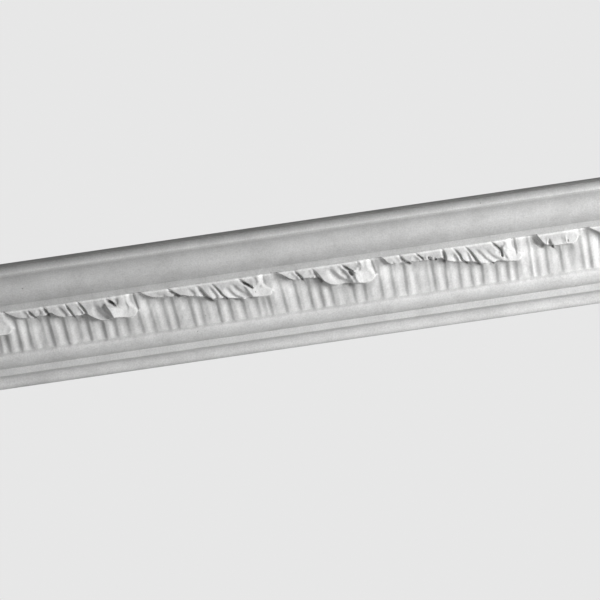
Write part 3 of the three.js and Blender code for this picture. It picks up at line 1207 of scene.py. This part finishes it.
        # Painted shade and painted highlight down the profile
        painted_light = flowing(down, self.painted_shading)
        depth = down - self.profile.band_top
        band = (depth > 0.0) & (depth < self.profile.band.fall)
        # Painted shadow under the leaves
        painted_light[band] *= 1.0 - self.under_leaf_shadow * CarvedBand(self.profile).leaf_shadow_mask(along[band], depth[band])
        mark = self.piece.data.attributes.new("painted_light", "FLOAT", "POINT")
        mark.data.foreach_set("value", painted_light)

    def dress(self) -> None:
        """Smooth the faces and lay the finish on them."""
        self.piece.data.materials.clear()
        self.piece.data.materials.append(self.finish.material())
        bpy.ops.object.select_all(action="DESELECT")
        self.piece.select_set(True)
        bpy.context.view_layer.objects.active = self.piece
        bpy.ops.object.shade_smooth_by_angle(angle=math.radians(self.smooth_turn))


@dataclass(frozen=True)
class Softbox:
    """One oblong soft light.

    Attributes:
        name: Its name.
        place: Where it stands, in metres.
        power: Its power, in watts.
        target: What it faces.
        size: Its two sides, in metres.
        spread: How wide its beam opens, in degrees.
    """

    name: str
    place: Place
    power: float
    target: Place = (0.0, 0.0, 0.02)
    size: Span = (0.6, 0.6)
    spread: float = 180.0

    def hang(self) -> None:
        """Hang the light in the scene."""
        lamp = bpy.data.lights.new(self.name, "AREA")
        lamp.shape = "RECTANGLE"
        lamp.size, lamp.size_y = self.size
        lamp.energy = self.power
        lamp.spread = math.radians(self.spread)
        holder = bpy.data.objects.new(self.name, lamp)
        bpy.context.scene.collection.objects.link(holder)
        holder.location = self.place
        facing = Vector(self.target) - Vector(self.place)
        holder.rotation_mode = "QUATERNION"
        holder.rotation_quaternion = facing.to_track_quat("-Z", "Y")


@dataclass
class Studio:
    """The floor, the lights and the camera.

    Attributes:
        floor_gap: How far below the moulding the floor lies, in metres.
        floor_size: Its side, in metres.
        floor_tone: How bright the camera sees the floor, the same from every side.
        floor_colour: Its colour for the light that it throws back.
        lights: The lights: three at the right, one on the floor and a weak one behind.
        sky: How bright the even light all round is.
        elevation: The camera's height above the level, in degrees.
        roll: How far the moulding rises to the right in the picture, in degrees.
        aim: The point at the middle of the picture.
        frame_width: Width of what the picture shows at the moulding, in metres.
        lens: Focal length in millimetres.
        sensor: Sensor width in millimetres.
    """

    floor_gap: float = 0.45
    floor_size: float = 60.0
    floor_tone: float = 0.80
    floor_colour: Colour = (0.78, 0.78, 0.78)
    lights: tuple[Softbox, ...] = (
        Softbox("front_light", (1.62, -1.56, 0.27), 21.0),
        Softbox("side_light", (1.90, -0.86, 0.20), 20.0),
        Softbox("upper_light", (1.68, -0.82, 0.66), 5.4),
        Softbox("floor_light", (0.0, 14.2, 1.4), 345.0, (0.0, 14.2, -1.0), (4.6, 27.0), 50.0),
        Softbox("back_light", (-1.1, 2.2, -0.24), 26.0, (0.0, 0.0, 0.0), (0.5, 0.5)),
    )
    sky: float = 0.165
    elevation: float = 6.0
    roll: float = 8.25
    aim: Place = (-0.00225, -0.033, 0.0193)
    frame_width: float = 0.6
    lens: float = 300.0
    sensor: float = 36.0

    def build(self) -> None:
        """Set the stage."""
        self.lay_floor()
        self.light_room()
        for light in self.lights:
            light.hang()
        self.set_camera()

    def lay_floor(self) -> None:
        """Lay a wide pale floor below the moulding, which the camera sees in one even tone."""
        bpy.ops.object.select_all(action="DESELECT")
        level = CAD_BOX[0][2] - self.floor_gap
        bpy.ops.mesh.primitive_plane_add(size=self.floor_size, location=(0.0, 0.0, level))
        floor = bpy.context.object
        floor.name = "studio_floor"
        paint = bpy.data.materials.new("pale_floor")
        paint.use_nodes = True
        sheet = NodeSheet(paint)
        nodes = paint.node_tree.nodes
        shader = nodes["Principled BSDF"]
        sheet.feed(shader, {"Base Color": self.floor_colour, "Roughness": 0.9})
        even = {"Color": (1.0, 1.0, 1.0), "Strength": self.floor_tone}
        seen = sheet.make("ShaderNodeEmission", "Emission", even)
        by_camera = sheet.make("ShaderNodeLightPath", "Is Camera Ray", {})
        either = {"Fac": by_camera, 1: shader.outputs["BSDF"], 2: seen}
        sheet.feed(nodes["Material Output"], {"Surface": sheet.make("ShaderNodeMixShader", "Shader", either)})
        floor.data.materials.append(paint)

    def light_room(self) -> None:
        """Set a weak even light all round."""
        world = bpy.data.worlds.new("studio_world")
        bpy.context.scene.world = world
        world.use_nodes = True
        background = world.node_tree.nodes["Background"]
        background.inputs["Color"].default_value = (1.0, 1.0, 1.0, 1.0)
        background.inputs["Strength"].default_value = self.sky

    def set_camera(self) -> None:
        """Set the camera square to the length, a little above it, and rolled."""
        lens = bpy.data.cameras.new("camera")
        lens.lens = self.lens
        lens.sensor_width = self.sensor
        camera = bpy.data.objects.new("camera", lens)
        bpy.context.scene.collection.objects.link(camera)
        distance = self.frame_width * self.lens / self.sensor
        rise = math.radians(self.elevation)
        back = Vector((0.0, -math.cos(rise), math.sin(rise)))
        camera.location = Vector(self.aim) + back * distance
        facing = (-back).to_track_quat("-Z", "Y").to_matrix().to_4x4()
        turned = facing @ Matrix.Rotation(-math.radians(self.roll), 4, "Z")
        camera.rotation_mode = "QUATERNION"
        camera.rotation_quaternion = turned.to_quaternion()
        lens.clip_start = 0.1
        lens.clip_end = 100.0
        bpy.context.scene.camera = camera
        bpy.context.scene.view_settings.view_transform = "Standard"


def report(piece: bpy.types.Object) -> None:
    """Report a finished piece through the log."""
    count = sum(len(face.vertices) - 2 for face in piece.data.polygons)
    LOG.info("%s: %d triangles", piece.name, count)


def main() -> None:
    """Build the moulding, bind it to the frame and set the stage."""
    logging.basicConfig(level=logging.INFO, format="%(name)s: %(message)s")
    cornice = CorniceSection().build()
    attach(cornice, "root")
    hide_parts(NODE)
    report(cornice)
    Studio().build()


if __name__ == "__main__":
    main()
